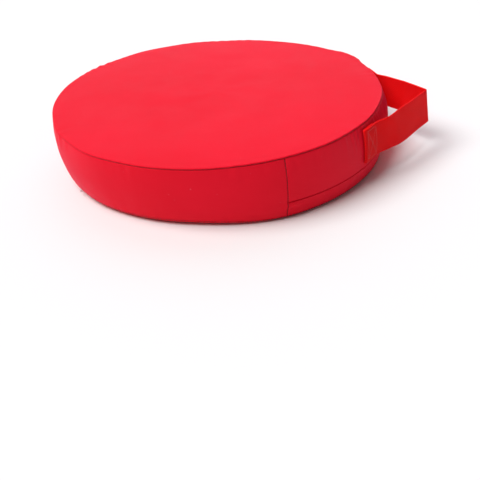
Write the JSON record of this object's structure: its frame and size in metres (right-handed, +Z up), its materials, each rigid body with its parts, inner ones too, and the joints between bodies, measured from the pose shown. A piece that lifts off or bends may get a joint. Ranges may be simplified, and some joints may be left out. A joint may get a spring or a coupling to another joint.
{
  "type": "floor cushion",
  "caption": "Round foam floor cushion in a sewn cover, with a concealed zip in its side band and a webbing carrying loop.",
  "frame": {"origin": "centre of the underside, on the floor", "axes": "+Z up through the middle of the cushion, +X towards the handle, -Y towards the front end of the zip"},
  "size_m": [0.392, 0.35, 0.065],
  "materials": {
    "cover_fabric": "fine plain-weave coated nylon, soft sheen, red",
    "webbing": "coarse plain-weave polypropylene webbing, red",
    "thread": "red sewing thread",
    "zip_tape": "red woven zip tape",
    "zip_coil": "red nylon coil",
    "zip_metal": "red painted zinc",
    "foam": "open-cell polyurethane foam, off-white"
  },
  "bodies": {
    "cover": {"foam_core": "foam", "top_panel": "cover_fabric", "bottom_panel": "cover_fabric", "front_band": "cover_fabric", "zip_band_upper": "cover_fabric", "zip_band_lower": "cover_fabric", "top_seam_thread": "thread", "bottom_seam_thread": "thread", "side_seam_thread_front": "thread", "side_seam_thread_rear": "thread", "zip_tape_upper": "zip_tape", "zip_tape_lower": "zip_tape", "zip_coil_upper": "zip_coil", "zip_coil_lower": "zip_coil", "handle_end_front": "webbing", "handle_end_rear": "webbing", "handle_stitching_front": "thread", "handle_stitching_rear": "thread"},
    "handle": {"handle_loop": "webbing"},
    "slider": {"zip_slider": "zip_metal"},
    "pull": {"zip_pull": "zip_metal"}
  },
  "joints": [
    {"name": "handle_swing", "type": "hinge", "parent": "cover", "child": "handle", "pos_m": [0.19, 0, 0.0417], "axis": [0, -1, 0], "range_deg": [-45, 45]},
    {"name": "zip_travel", "type": "hinge", "parent": "cover", "child": "slider", "pos_m": [0, 0, 0.018], "axis": [0, 0, 1], "range_deg": [-112, 0]},
    {"name": "pull_flip", "type": "hinge", "parent": "slider", "child": "pull", "pos_m": [0.09828, 0.14571, 0.018], "axis": [0.829, -0.5592, 0], "range_deg": [0, 100]}
  ]
}
